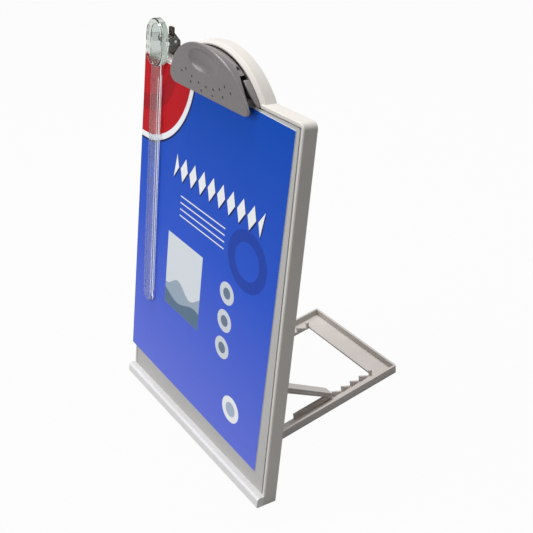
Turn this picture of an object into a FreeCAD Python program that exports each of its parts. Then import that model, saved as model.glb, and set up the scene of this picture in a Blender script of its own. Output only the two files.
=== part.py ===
import FreeCAD, Part
import math
import os

# Copy holder with a sprung paper clip, a clear line guide and a notched folding stand.
# Millimetres. Pieces of the board are drawn upright (x across, y from front to back,
# z up the board) and then leaned back; pieces of the stand are drawn where they lie.

# Standard sheet, held by the clip a little askew; the board is made to its size
sheet_width = 210.0
sheet_height = 297.0
sheet_thickness = 0.5
sheet_offset = -10.0
sheet_lift = 17.5
sheet_turn = 1.42

# Board
board_side_margin = 5.0
board_end_margin = 31.0
board_depth = 12.3
lean_angle = 12.75
rim_wall = 2.8
rim_corner = 5.0
rim_edge = 0.7
web_thickness = 2.0
groove = 1.2
recess_side_gap = 1.0
recess_end_gap = 3.0
recess_corner = 3.0

# Arch on the top edge, with the clip's pocket in its front
arch_radius = 80.0
arch_rise = 31.0
arch_front_edge = 2.4
pocket_ring = 3.5
pocket_depth = 7.0

# Front panel
panel_thickness = 2.0
panel_corner = 2.0

# Ledge along the foot of the board
ledge_height = 9.4
ledge_reach = 6.7
ledge_front_round = 2.6
ledge_foot_round = 0.8
ledge_tongue_gap = 0.4

# Screws, driven in from the back
screw_radius = 1.3
screw_head_radius = 2.2
screw_head_height = 1.4
screw_bite = 1.4
screw_side_inset = 14.0
screw_foot_inset = 34.0
screw_top_inset = 34.0

# Gaps
seat_gap = 0.3
pin_play = 0.05

# Clip lever: a domed half moon that tips out at the top
lever_radius = 60.0
lever_rise = 44.5
lever_corner = 6.0
lever_depth = 14.0
lever_draft = 8.5
lever_tilt = 12.0
lever_wall = 2.2
lever_edge = 1.6
lever_back_gap = 0.9
jaw_drop = 12.0
jaw_reach = 6.0
jaw_wall = 6.0
thumb_width = 42.0
thumb_height = 20.0
thumb_depth = 3.4
thumb_place = 29.5
thumb_floor = 1.6
dot_radius = 0.85
dot_depth = 0.7
dot_near_ring = 20.5
dot_far_ring = 26.0
dot_near_count = 7
dot_far_count = 6
dot_row_angle = 105.0
dot_row_stretch = 5 / 3

# Clip pivot, base, spring and jaw pad
clip_pin_radius = 1.5
clip_pin_rise = 19.0
clip_pin_reach = 3.2
clip_pin_length = 61.0
clip_boss_radius = 3.1
clip_boss_start = 26.5
clip_boss_end = 34.0
clip_base_thickness = 2.0
clip_wall = 2.4
clip_wall_drop = 1.0
clip_ear_start = 17.0
clip_ear_width = 3.0
clip_ear_radius = 3.2
clip_ear_room = 1.5
clip_screw_offset = 10.0
clip_screw_rise = 9.0
clip_spring_wire = 0.35
clip_spring_radius = 2.7
clip_spring_pitch = 1.4
clip_spring_turns = 3
clip_spring_leg = 3.5
pad_length = 92.0
pad_height = 4.6
pad_thickness = 2.4
pad_edge = 0.6

# Line guide: a clear strip in a sprung clamp that grips the top edge
guide_inset = 26.0
strip_width = 16.6
strip_drop = 233.5
strip_rise = 28.0
strip_thickness = 3.0
strip_edge = 0.5
strip_line_width = 0.8
strip_line_depth = 0.4
strip_line_inset = 3.4
head_width = 26.4
head_drop = 8.5
head_rise = 32.0
head_thickness = 6.0
head_edge = 0.8
head_rim = 2.4
head_dish = 0.9
guide_pin_radius = 1.2
guide_pin_rise = 14.0
guide_pin_depth = 8.0
lug_gap = 0.5
lug_width = 2.2
lug_radius = 3.6
cheek_start = 5.2
cheek_width = 2.2
cheek_radius = 3.6
clamp_gap = 0.6
clamp_thickness = 2.0
clamp_half_width = 9.0
clamp_drop = 17.0
clamp_shoulder_rise = 13.0
clamp_round = 3.0
tab_half_width = 3.2
tab_depth = 9.3
tab_lean_rise = 6.0
tab_length = 5.0
tab_round = 1.2
jaw_lip_height = 3.0
jaw_lip_drop = 5.0
guide_spring_wire = 0.4
guide_spring_radius = 2.6
guide_spring_pitch = 1.6
guide_spring_turns = 3
guide_spring_leg = 2.0

# Stand frame, flat on the table
stand_width = 118.0
stand_length = 181.0
stand_corner = 1.6
stand_web = 2.0
stand_rim_height = 8.3
stand_rim = 2.0
arm_width = 12.5
arm_start = 3.0
rear_bar = 21.0
notch_rib = 2.0
notch_rib_height = 7.6
notch_rib_lead = 34.2
notch_end_gap = 1.2
tooth_pitch = 10.8
tooth_count = 4
rib_stub = 2.6
stand_pin_radius = 1.5
stand_pin_depth = 8.2
stand_pin_rise = 7.2
stand_barrel_radius = 3.5
lug_wall = 2.6
heel_length = 9.0

# Strut from the board's back to the notches
strut_pin_rise = 78.3
strut_pin_depth = 8.0
strut_root = 6.7
strut_tip = 4.6
strut_tip_chamfer = 1.2
strut_inside = 40.0
strut_leg_width = 10.0
strut_bridge = 34.0
strut_bridge_thickness = 3.0
strut_lug_radius = 3.3
strut_setback = 3.4
strut_lift = 1.9
strut_pin_radius = 1.5

# Small round things have flat sides: the wire of the springs, the dots and the screws
wire_sides = 5
dot_sides = 6
screw_sides = 12

# One overrun for every cutter
overrun = 1.0

# Worked out from the sizes above
across = FreeCAD.Vector(1, 0, 0)
rearward = FreeCAD.Vector(0, 1, 0)
upward = FreeCAD.Vector(0, 0, 1)
origin = FreeCAD.Vector(0, 0, 0)
quarter_turn = math.pi / 2
half_turn = math.pi
lean = math.radians(lean_angle)
lean_sin = math.sin(lean)
lean_cos = math.cos(lean)
half_width = sheet_width / 2 + board_side_margin
board_height = sheet_height + board_end_margin
inner_half_width = half_width - rim_wall
inner_top = board_height - rim_wall
panel_half_width = inner_half_width - groove
panel_top = inner_top - groove
web_back = panel_thickness + web_thickness
arch_centre = board_height + arch_rise - arch_radius
pocket_radius = arch_radius - pocket_ring
sheet_foot = ledge_height + sheet_lift
sheet_left = sheet_offset - sheet_width / 2 * math.cos(math.radians(sheet_turn))
sheet_front = -sheet_thickness
front_reach = (board_depth + ledge_reach - ledge_foot_round) * lean_cos
front_reach = front_reach + ledge_foot_round - ledge_foot_round * lean_sin
centre_shift = -(half_width + sheet_left) / 2
foot_place = (front_reach - stand_length) / 2
jaw_height = board_height - jaw_drop
clip_pin_height = board_height + clip_pin_rise
guide_centre = guide_inset - half_width
guide_pin_height = board_height + guide_pin_rise
strip_bottom = board_height - strip_drop
strip_top = board_height + strip_rise
strip_back = sheet_front - seat_gap
head_bottom = board_height - head_drop
head_top = board_height + head_rise
head_front = strip_back - head_thickness
lug_start = strip_width / 2 + lug_gap
stand_half = stand_width / 2
window_half = stand_half - arm_width
window_end = stand_length - rear_bar
last_notch = window_end - rib_stub - notch_end_gap
first_tooth = last_notch - tooth_count * tooth_pitch
strut_outside = strut_inside + strut_leg_width


def board_to_table(depth, height):
    """Where a point of the upright drawing lies behind the board's foot, and its height."""
    back = depth * lean_cos + height * lean_sin - board_depth * lean_cos
    up = height * lean_cos - depth * lean_sin + board_depth * lean_sin
    return back, up


stand_pin_back, stand_pin_up = board_to_table(stand_pin_depth, stand_pin_rise)
strut_pin_back, strut_pin_up = board_to_table(strut_pin_depth, strut_pin_rise)
strut_run = first_tooth - strut_setback - strut_pin_back
strut_fall = strut_pin_up - stand_web - strut_lift
strut_reach = math.hypot(strut_run, strut_fall)
strut_slope = math.atan2(strut_fall, strut_run) - math.asin(strut_tip / 2 / strut_reach)
strut_length = math.sqrt(strut_reach ** 2 - (strut_tip / 2) ** 2)
recess_half = stand_half + recess_side_gap
recess_top = strut_pin_rise + strut_length + recess_end_gap


def box(left, right, front, back, bottom, top):
    corner = FreeCAD.Vector(left, front, bottom)
    return Part.makeBox(right - left, back - front, top - bottom, corner)


def rod(radius, left, right, depth, height):
    return Part.makeCylinder(radius, right - left, FreeCAD.Vector(left, depth, height), across)


def disc(radius, front, back, centre_x, centre_z):
    return Part.makeCylinder(radius, back - front, FreeCAD.Vector(centre_x, front, centre_z), rearward)


def many_sided(radius, front, back, centre_x, centre_z, sides):
    """A disc with flat sides, whose corners lie on the radius."""
    corners = []
    for number in range(sides):
        angle = 2 * math.pi * number / sides
        corners.append(FreeCAD.Vector(centre_x + radius * math.cos(angle), front,
                                      centre_z + radius * math.sin(angle)))
    face = Part.Face(Part.makePolygon(corners + corners[:1]))
    return face.extrude(FreeCAD.Vector(0, back - front, 0))


def fuse(first, *others):
    return first.multiFuse(list(others)).removeSplitter()


def mirrored(shape, centre_x=0.0):
    return shape.mirror(FreeCAD.Vector(centre_x, 0, 0), across)


def side_plate(points, left, right):
    """An outline given as (depth, height) points, made solid from left to right."""
    corners = [FreeCAD.Vector(left, depth, height) for depth, height in points]
    face = Part.Face(Part.makePolygon(corners + corners[:1]))
    return face.extrude(FreeCAD.Vector(right - left, 0, 0))


def straight_edges(shape, direction, places):
    """Straight edges along a direction whose middle passes the test."""
    chosen = []
    for edge in shape.Edges:
        run = edge.Vertexes[-1].Point.sub(edge.Vertexes[0].Point)
        if run.Length > 0 and abs(run.normalize().dot(direction)) > math.cos(math.radians(1)):
            if places(edge.CenterOfMass):
                chosen.append(edge)
    return chosen


def stadium(half, bottom, top, front, back, centre_x):
    """A plate with round ends, standing on its lower end."""
    lower = disc(half, front, back, centre_x, bottom + half)
    upper = disc(half, front, back, centre_x, top - half)
    middle = box(centre_x - half, centre_x + half, front, back, bottom + half, top - half)
    return fuse(middle, lower, upper)


def lean_back(shape):
    placed = shape.copy()
    placed.rotate(origin, across, -lean_angle)
    foot = FreeCAD.Vector(centre_shift, foot_place - board_depth * lean_cos, board_depth * lean_sin)
    placed.translate(foot)
    return placed


def on_table(shape):
    placed = shape.copy()
    placed.translate(FreeCAD.Vector(centre_shift, foot_place, 0))
    return placed


# Board pieces

def screw(centre_x, height, tip):
    """A screw driven forward from the back, where its head rests."""
    top = board_depth + screw_head_height
    shank = many_sided(screw_radius, tip, top, centre_x, height, screw_sides)
    head = many_sided(screw_head_radius, board_depth, top, centre_x, height, screw_sides)
    return shank.fuse(head).removeSplitter()


def screw_holes(places, front, back):
    radius = screw_radius + pin_play
    return [many_sided(radius, front, back, x, height, screw_sides) for x, height in places]


def panel_screw_places():
    side = inner_half_width - screw_side_inset
    heights = (ledge_height + screw_foot_inset, panel_top - screw_top_inset)
    return [(x, height) for height in heights for x in (-side, side)]


def clip_screw_places():
    return [(side * clip_screw_offset, board_height + clip_screw_rise) for side in (-1, 1)]


def lug(start, end, pin_depth, pin_height, radius):
    """A lug on the recess floor, rounded about the pin that it carries."""
    root = box(start, end, web_back - overrun, pin_depth, pin_height - radius, pin_height + radius)
    return root.fuse(rod(radius, start, end, pin_depth, pin_height))


def pin_bore(radius, start, end, pin_depth, pin_height):
    reach = seat_gap + lug_wall
    return rod(radius + pin_play, start - reach, end + reach, pin_depth, pin_height)


def board_blank():
    """The board with its arch, before anything is cut from it."""
    slab = box(-half_width, half_width, 0, board_depth, 0, board_height)
    top_corners = straight_edges(slab, rearward, lambda middle: middle.z > board_height / 2)
    slab = slab.makeFillet(rim_corner, top_corners)
    front_rim = [e for e in slab.Edges if e.CenterOfMass.y < rim_edge and e.CenterOfMass.z > rim_edge]
    slab = slab.makeChamfer(rim_edge, front_rim)
    arch = disc(arch_radius, 0, board_depth, 0, arch_centre)
    arch = arch.makeChamfer(arch_front_edge, [e for e in arch.Edges if e.CenterOfMass.y < rim_edge])
    above = box(-arch_radius, arch_radius, 0, board_depth, board_height - rim_corner,
                board_height + arch_rise)
    return slab.fuse(arch.common(above)).removeSplitter()


def clip_pocket():
    pocket = disc(pocket_radius, -overrun, pocket_depth, 0, arch_centre)
    room = box(-arch_radius, arch_radius, -overrun, pocket_depth, inner_top, board_height + arch_rise)
    return pocket.common(room)


def above_board():
    return box(-half_width, half_width, -overrun, board_depth + overrun, board_height,
               board_height + arch_rise + overrun)


def stand_recess():
    room = box(-recess_half, recess_half, web_back, board_depth + overrun, -overrun, recess_top)
    corners = straight_edges(room, rearward, lambda middle: middle.z > recess_top / 2)
    return room.makeFillet(recess_corner, corners)


def back_shell():
    panel_seat = box(-inner_half_width, inner_half_width, -overrun, panel_thickness, -overrun, inner_top)
    spaces = Part.makeCompound([panel_seat, clip_pocket(), stand_recess(), above_board()])
    shell = board_blank().cut(spaces)

    lugs = []
    for start in (strut_inside - seat_gap - lug_wall, strut_outside + seat_gap):
        lugs.append(lug(start, start + lug_wall, strut_pin_depth, strut_pin_rise, strut_lug_radius))
    start = window_half - seat_gap - lug_wall
    lugs.append(lug(start, start + lug_wall, stand_pin_depth, stand_pin_rise, stand_barrel_radius))
    shell = shell.multiFuse(lugs + [mirrored(each) for each in lugs])

    bores = [pin_bore(stand_pin_radius, window_half, stand_half, stand_pin_depth, stand_pin_rise),
             pin_bore(strut_pin_radius, strut_inside, strut_outside, strut_pin_depth, strut_pin_rise)]
    cutters = bores + [mirrored(each) for each in bores]
    cutters.extend(screw_holes(panel_screw_places(), panel_thickness - overrun, board_depth + overrun))
    return shell.cut(Part.makeCompound(cutters)).removeSplitter()


def top_arch():
    """The half moon on the board's top edge; the clip's base sits in its pocket."""
    arch = board_blank().common(above_board()).cut(clip_pocket())
    holes = screw_holes(clip_screw_places(), pocket_depth - overrun, board_depth + overrun)
    return arch.cut(Part.makeCompound(holes))


def front_panel():
    panel = box(-panel_half_width, panel_half_width, 0, panel_thickness, ledge_height, panel_top)
    corners = straight_edges(panel, rearward, lambda middle: middle.z > board_height / 2)
    panel = panel.makeFillet(panel_corner, corners)
    holes = screw_holes(panel_screw_places(), panel_thickness - screw_bite, panel_thickness + overrun)
    return panel.cut(Part.makeCompound(holes))


def bottom_ledge():
    bar = box(-half_width, half_width, -ledge_reach, 0, 0, ledge_height)
    front = straight_edges(bar, across, lambda middle: middle.y < -ledge_reach / 2)
    bar = bar.makeFillet(ledge_front_round, [e for e in front if e.CenterOfMass.z > ledge_height / 2])
    front = straight_edges(bar, across, lambda middle: middle.y < -ledge_reach / 2)
    bar = bar.makeFillet(ledge_foot_round, [e for e in front if e.CenterOfMass.z < ledge_foot_round])
    tongue_half = inner_half_width - ledge_tongue_gap
    tongue = box(-tongue_half, tongue_half, -overrun, panel_thickness, 0, ledge_height)
    return fuse(bar, tongue)


def panel_screws():
    tip = panel_thickness - screw_bite + pin_play
    return Part.makeCompound([screw(x, z, tip) for x, z in panel_screw_places()])


def document_sheet():
    sheet = box(sheet_offset - sheet_width / 2, sheet_offset + sheet_width / 2, sheet_front, 0,
                sheet_foot, sheet_foot + sheet_height)
    sheet.rotate(FreeCAD.Vector(sheet_offset, 0, sheet_foot), rearward, sheet_turn)
    return sheet


# Paper clip

def lever_cone(inset, front):
    """The lever's round side, drawn in by an inset; it narrows to the rear by the draft."""
    slope = lever_draft / lever_depth
    face_radius = lever_radius - inset - slope * front
    foot = FreeCAD.Vector(0, front, lever_rise - lever_radius)
    return Part.makeCone(face_radius, face_radius - lever_draft, lever_depth, foot, rearward)


def lever_blank():
    above_jaw = box(-lever_radius, lever_radius, -overrun, lever_depth + overrun, 0, lever_rise + overrun)
    blank = lever_cone(0, 0).common(above_jaw)
    ends = [e for e in blank.Edges if e.BoundBox.ZMax < lever_edge and e.BoundBox.YLength > lever_edge]
    return blank.makeFillet(lever_corner, ends)


def thumb_hollow():
    """An oval hollow sunk in the lever's face by a ring whose outer side is curved both ways."""
    along = (thumb_width ** 2 / 4 + thumb_depth ** 2) / (2 * thumb_depth)
    over = (thumb_height ** 2 / 4 + thumb_depth ** 2) / (2 * thumb_depth)
    centre = FreeCAD.Vector(0, thumb_depth - along, thumb_place)
    return Part.makeTorus(along - over, over, centre, upward)


def lever_dots():
    """Two bent rows of dimples under the hollow."""
    dots = []
    for ring, count in ((dot_near_ring, dot_near_count), (dot_far_ring, dot_far_count)):
        for number in range(count):
            angle = math.radians(dot_row_angle) * (number / (count - 1) - 1 / 2)
            x = ring * math.sin(angle) * dot_row_stretch
            z = thumb_place - ring * math.cos(angle)
            dots.append(many_sided(dot_radius, -overrun, dot_depth, x, z, dot_sides))
    return dots


def tip_out(shape):
    """From the lever's own flat drawing to its place on the board."""
    placed = shape.copy()
    placed.rotate(origin, across, lever_tilt)
    placed.translate(FreeCAD.Vector(0, -jaw_reach, jaw_height))
    return placed


def ear_room(start):
    """Room in the lever's skirt for an ear of the base, over the lever's whole swing."""
    radius = clip_ear_radius + clip_ear_room
    end = start + clip_ear_width + seat_gap
    front = rod(radius, start - seat_gap, end, -clip_pin_reach, clip_pin_height)
    behind = box(start - seat_gap, end, -clip_pin_reach, 0, clip_pin_height - radius,
                 clip_pin_height + radius)
    return front.fuse(behind)


def clip_lever():
    blank = lever_blank()
    face_rim = [e for e in blank.Edges if e.BoundBox.YMax < lever_edge / 2]
    solid = blank.makeChamfer(lever_edge, face_rim)
    above_jaw = box(-lever_radius, lever_radius, 0, lever_depth * 2, jaw_wall, lever_rise)
    behind_hollow = box(-thumb_width / 2, thumb_width / 2, 0, thumb_depth + thumb_floor,
                        thumb_place - thumb_height / 2, thumb_place + thumb_height / 2)
    room = lever_cone(lever_wall, lever_wall).common(above_jaw).cut(behind_hollow)
    solid = solid.cut(room).cut(thumb_hollow()).cut(Part.makeCompound(lever_dots()))

    placed = tip_out(solid)
    behind = box(-lever_radius, lever_radius, -lever_back_gap, lever_depth * 2, jaw_height - overrun,
                 jaw_height + lever_radius)
    pad_room = box(-lever_radius, lever_radius, -lever_back_gap - pad_thickness, lever_depth,
                   jaw_height - lever_depth, jaw_height + jaw_wall + overrun)
    placed = placed.cut(behind.fuse(pad_room))
    outline = tip_out(blank)
    boss = rod(clip_boss_radius, clip_boss_start, clip_boss_end, -clip_pin_reach, clip_pin_height)
    boss = boss.common(outline)
    placed = placed.multiFuse([boss, mirrored(boss)])
    hole = rod(clip_pin_radius + pin_play, -lever_radius, lever_radius, -clip_pin_reach,
               clip_pin_height)
    rooms = [ear_room(start) for start in (clip_ear_start, -clip_ear_start - clip_ear_width)]
    return placed.cut(Part.makeCompound([hole] + rooms)).removeSplitter()


def clip_pad():
    back = sheet_front - seat_gap
    front = -lever_back_gap - pad_thickness
    foot = jaw_height + overrun
    pad = box(-pad_length / 2, pad_length / 2, front, back, foot, foot + pad_height)
    long_edges = straight_edges(pad, across, lambda middle: middle.y > back - pad_edge)
    return pad.makeFillet(pad_edge, long_edges)


def clip_base():
    front = pocket_depth - clip_base_thickness
    plate = disc(pocket_radius - seat_gap, front, pocket_depth, 0, arch_centre)
    room = box(-arch_radius, arch_radius, front, pocket_depth, inner_top + seat_gap,
               board_height + arch_rise)
    plate = plate.common(room)
    wall = disc(pocket_radius - seat_gap, 0, pocket_depth, 0, arch_centre)
    wall = wall.cut(disc(pocket_radius - seat_gap - clip_wall, -overrun, front, 0, arch_centre))
    beside = box(-arch_radius, arch_radius, 0, pocket_depth, inner_top + seat_gap,
                 clip_pin_height - clip_wall_drop)
    ears = [wall.common(beside)]
    for start in (clip_ear_start, -clip_ear_start - clip_ear_width):
        end = start + clip_ear_width
        arm = box(start, end, -clip_pin_reach, pocket_depth, clip_pin_height - clip_ear_radius,
                  clip_pin_height + clip_ear_radius)
        ears.append(arm.fuse(rod(clip_ear_radius, start, end, -clip_pin_reach, clip_pin_height)))
    base = plate.multiFuse(ears)
    bore = rod(clip_pin_radius + pin_play, -clip_boss_start, clip_boss_start, -clip_pin_reach,
               clip_pin_height)
    holes = screw_holes(clip_screw_places(), pocket_depth - screw_bite, pocket_depth + overrun)
    return base.cut(Part.makeCompound([bore] + holes)).removeSplitter()


def clip_screws():
    tip = pocket_depth - screw_bite + pin_play
    return Part.makeCompound([screw(x, z, tip) for x, z in clip_screw_places()])


def clip_pin():
    return rod(clip_pin_radius, -clip_pin_length / 2, clip_pin_length / 2, -clip_pin_reach, clip_pin_height)


# Coil springs

def arc_edge(start, corner, end):
    """The arc that touches start-corner and corner-end."""
    half_chord = end.sub(start).Length / 2
    bend_cos = half_chord / corner.sub(start).Length
    middle = start.add(end).multiply(1 / 2)
    top = middle.add(corner.sub(middle).multiply(bend_cos / (1 + bend_cos)))
    return Part.Arc(start, top, end).toShape()


def biarc_edges(start, start_way, end, end_way):
    """Two arcs that leave start along start_way and reach end along end_way."""
    chord = end.sub(start)
    ways = start_way.add(end_way)
    spread = 2 * (1 - start_way.dot(end_way))
    reach = (math.sqrt(chord.dot(ways) ** 2 + spread * chord.dot(chord)) - chord.dot(ways)) / spread
    first = start.add(FreeCAD.Vector(start_way).multiply(reach))
    second = end.sub(FreeCAD.Vector(end_way).multiply(reach))
    meeting = first.add(second).multiply(1 / 2)
    return [arc_edge(start, first, meeting), arc_edge(meeting, second, end)]


def coil_spring(name, wire, radius, pitch, turns, start, centre, first_leg, last_leg):
    """A torsion spring round a pin along x, a quarter turn over its whole turns, with a leg at each end.

    It starts at an angle from the rear of the coil towards its top; its wire has six sides.
    """
    rise = pitch / (2 * math.pi)
    slope = math.hypot(radius, rise)
    steps = 4 * turns + 1
    half = rise * steps * quarter_turn / 2

    def point(number):
        angle = start + number * quarter_turn
        return FreeCAD.Vector(centre.x - half + rise * number * quarter_turn,
                              centre.y + radius * math.cos(angle), centre.z + radius * math.sin(angle))

    def way(number):
        angle = start + number * quarter_turn
        return FreeCAD.Vector(rise / slope, -radius * math.sin(angle) / slope,
                              radius * math.cos(angle) / slope)

    leg_start = point(0).sub(way(0).multiply(first_leg))
    edges = [Part.LineSegment(leg_start, point(0)).toShape()]
    for number in range(steps):
        edges.extend(biarc_edges(point(number), way(number), point(number + 1), way(number + 1)))
    leg_end = point(steps).add(way(steps).multiply(last_leg))
    edges.append(Part.LineSegment(point(steps), leg_end).toShape())
    sideways = way(0).cross(across).normalize()
    onward = way(0).cross(sideways)
    corners = []
    for number in range(wire_sides):
        angle = 2 * math.pi * number / wire_sides
        aside = FreeCAD.Vector(sideways).multiply(wire * math.cos(angle))
        along = FreeCAD.Vector(onward).multiply(wire * math.sin(angle))
        corners.append(leg_start.add(aside).add(along))
    section = Part.makePolygon(corners + corners[:1])
    tube = Part.Wire(edges).makePipeShell([section], True, False)
    samples = [point(number / 6) for number in range(6 * steps + 1)]
    nearest = min(samples[first].sub(samples[second]).Length
                  for first in range(len(samples)) for second in range(first + 12, len(samples)))
    print(name, "least gap to itself", round(nearest - 2 * wire, 2), "mm")
    return tube


def clip_spring():
    """One leg bears on the base plate, the other stands up behind the lever's face."""
    centre = FreeCAD.Vector(0, -clip_pin_reach, clip_pin_height)
    seat = pocket_depth - clip_base_thickness + clip_pin_reach - seat_gap
    return coil_spring("clip_spring", clip_spring_wire, clip_spring_radius, clip_spring_pitch,
                       clip_spring_turns, half_turn, centre, clip_spring_leg, seat)


# Line guide

def guide_strip():
    front = strip_back - strip_thickness
    strip = stadium(strip_width / 2, strip_bottom, strip_top, front, strip_back, guide_centre)
    strip = strip.makeChamfer(strip_edge, [e for e in strip.Edges if e.BoundBox.YMax < front + strip_edge])
    lines = []
    for side in (-1, 1):
        middle = guide_centre + side * (strip_width / 2 - strip_line_inset)
        lines.append(box(middle - strip_line_width / 2, middle + strip_line_width / 2, front - overrun,
                         front + strip_line_depth, strip_bottom + strip_width / 2,
                         head_bottom - strip_width / 2))
    return strip.cut(Part.makeCompound(lines))


def guide_pin_bore():
    return rod(guide_pin_radius + pin_play, guide_centre - head_width / 2, guide_centre + head_width / 2,
               guide_pin_depth, guide_pin_height)


def both_sides(start, end):
    """The two stretches along x that lie from start to end on each side of the guide."""
    return [(guide_centre + start, guide_centre + end), (guide_centre - end, guide_centre - start)]


def guide_head():
    head = stadium(head_width / 2, head_bottom, head_top, head_front, strip_back, guide_centre)
    head = head.makeChamfer(head_edge, [e for e in head.Edges if e.BoundBox.YMax < head_front + head_edge])
    dish = stadium(head_width / 2 - head_rim, head_bottom + head_rim, head_top - head_rim,
                   head_front - overrun, head_front + head_dish, guide_centre)
    channel = stadium(strip_width / 2 + pin_play, head_bottom - strip_width, strip_top + pin_play,
                      strip_back - strip_thickness - pin_play, strip_back + overrun, guide_centre)
    head = head.cut(dish.fuse(channel))
    lugs = []
    for start, end in both_sides(lug_start, lug_start + lug_width):
        arm = box(start, end, strip_back - overrun, guide_pin_depth, guide_pin_height - lug_radius,
                  guide_pin_height + lug_radius)
        lugs.append(arm.fuse(rod(lug_radius, start, end, guide_pin_depth, guide_pin_height)))
    return head.multiFuse(lugs).cut(guide_pin_bore()).removeSplitter()


def clamp_side_view():
    """The bent plate of the rear lever: down behind the board, and forward over its top edge to the tab."""
    front = board_depth + clamp_gap
    foot = board_height - clamp_drop
    shoulder = board_height + clamp_shoulder_rise
    tab_foot = shoulder + tab_lean_rise
    tab_top = tab_foot + tab_length
    bend = clamp_thickness * (front - tab_depth) / tab_lean_rise / 2
    profile = [(front, foot), (front, shoulder), (tab_depth, tab_foot), (tab_depth, tab_top),
               (tab_depth + clamp_thickness, tab_top), (tab_depth + clamp_thickness, tab_foot + bend),
               (front + clamp_thickness, shoulder + bend), (front + clamp_thickness, foot)]
    return side_plate(profile, guide_centre - clamp_half_width, guide_centre + clamp_half_width)


def clamp_rear_view():
    """The same plate seen from behind: it narrows above the board's top edge to the tab."""
    foot = board_height - clamp_drop
    shoulder = board_height + clamp_shoulder_rise
    tab_foot = shoulder + tab_lean_rise
    tab_top = tab_foot + tab_length
    cheek_end = cheek_start + cheek_width
    right = [(clamp_half_width, foot), (clamp_half_width, board_height), (cheek_end, shoulder),
             (tab_half_width, tab_foot), (tab_half_width, tab_top)]
    outline = right + [(-x, z) for x, z in reversed(right)]
    corners = [FreeCAD.Vector(guide_centre + x, 0, z) for x, z in outline]
    view = Part.Face(Part.makePolygon(corners + corners[:1]))
    view = view.extrude(FreeCAD.Vector(0, board_depth + clamp_gap + 2 * clamp_thickness, 0))
    feet = straight_edges(view, rearward, lambda middle: middle.z < foot + overrun)
    view = view.makeFillet(clamp_round, feet)
    tips = straight_edges(view, rearward, lambda middle: middle.z > tab_top - overrun)
    return view.makeFillet(tab_round, tips)


def guide_rear_lever():
    plate = clamp_side_view().common(clamp_rear_view())
    inside = board_depth + clamp_gap + overrun
    lip_half = clamp_half_width - clamp_round
    lip_foot = board_height - jaw_lip_drop
    parts = [box(guide_centre - lip_half, guide_centre + lip_half, board_depth + seat_gap, inside, lip_foot,
                 lip_foot + jaw_lip_height)]
    for start, end in both_sides(cheek_start, cheek_start + cheek_width):
        arm = box(start, end, guide_pin_depth, inside, guide_pin_height - cheek_radius,
                  board_height + clamp_shoulder_rise)
        parts.append(arm.fuse(rod(cheek_radius, start, end, guide_pin_depth, guide_pin_height)))
    return plate.multiFuse(parts).cut(guide_pin_bore()).removeSplitter()


def guide_pin():
    reach = lug_start + lug_width
    return rod(guide_pin_radius, guide_centre - reach, guide_centre + reach, guide_pin_depth,
               guide_pin_height)


def guide_spring():
    """One leg bears on the back of the head, the other hangs behind the pin."""
    centre = FreeCAD.Vector(guide_centre, guide_pin_depth, guide_pin_height)
    seat = guide_pin_depth - strip_back - seat_gap
    return coil_spring("guide_spring", guide_spring_wire, guide_spring_radius, guide_spring_pitch,
                       guide_spring_turns, 0, centre, guide_spring_leg, seat)


# Stand

def notch_profile():
    """The rib on the inner edge of an arm: a straight start, then teeth that face the board."""
    valley = stand_web
    crest = notch_rib_height
    start = first_tooth - tooth_pitch
    points = [(start - notch_rib_lead, 0), (start - notch_rib_lead, crest), (start, crest)]
    for number in range(tooth_count):
        tooth = first_tooth + number * tooth_pitch
        points.extend([(tooth, valley), (tooth, crest)])
    stub = window_end - rib_stub
    points.extend([(last_notch, valley), (stub, valley), (stub, crest), (window_end, crest)])
    points.append((window_end, 0))
    return points


def stand_frame():
    plate = box(-stand_half, stand_half, arm_start, stand_length, 0, stand_rim_height)
    rear_corners = straight_edges(plate, upward, lambda middle: middle.y > stand_length / 2)
    plate = plate.makeFillet(stand_corner, rear_corners)
    tray = box(-stand_half + stand_rim, stand_half - stand_rim, arm_start - overrun,
               stand_length - stand_rim, stand_web, stand_rim_height + overrun)
    window = box(-window_half, window_half, arm_start - overrun, window_end, -overrun,
                 stand_rim_height + overrun)
    frame = plate.cut(tray.fuse(window))
    parts = []
    for start in (window_half, -window_half - notch_rib):
        parts.append(side_plate(notch_profile(), start, start + notch_rib))
    heel_front = stand_pin_back - stand_barrel_radius / 2
    heel_back = arm_start + heel_length
    heel = [(heel_front, 0), (heel_back, 0), (heel_back, stand_web),
            (stand_pin_back, stand_pin_up + stand_barrel_radius), (heel_front, stand_pin_up)]
    for start in (window_half, -stand_half):
        parts.append(side_plate(heel, start, start + arm_width))
        parts.append(rod(stand_barrel_radius, start, start + arm_width, stand_pin_back, stand_pin_up))
    frame = frame.multiFuse(parts)
    bore = rod(stand_pin_radius + pin_play, -stand_half - overrun, stand_half + overrun, stand_pin_back,
               stand_pin_up)
    return frame.cut(bore).removeSplitter()


def hinge_pins(start, end, radius, depth, height):
    reach = seat_gap + lug_wall
    pin = rod(radius, start - reach, end + reach, depth, height)
    return Part.makeCompound([pin, mirrored(pin)])


def stand_pins():
    return hinge_pins(window_half, stand_half, stand_pin_radius, stand_pin_depth, stand_pin_rise)


def strut_pins():
    return hinge_pins(strut_inside, strut_outside, strut_pin_radius, strut_pin_depth, strut_pin_rise)


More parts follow.
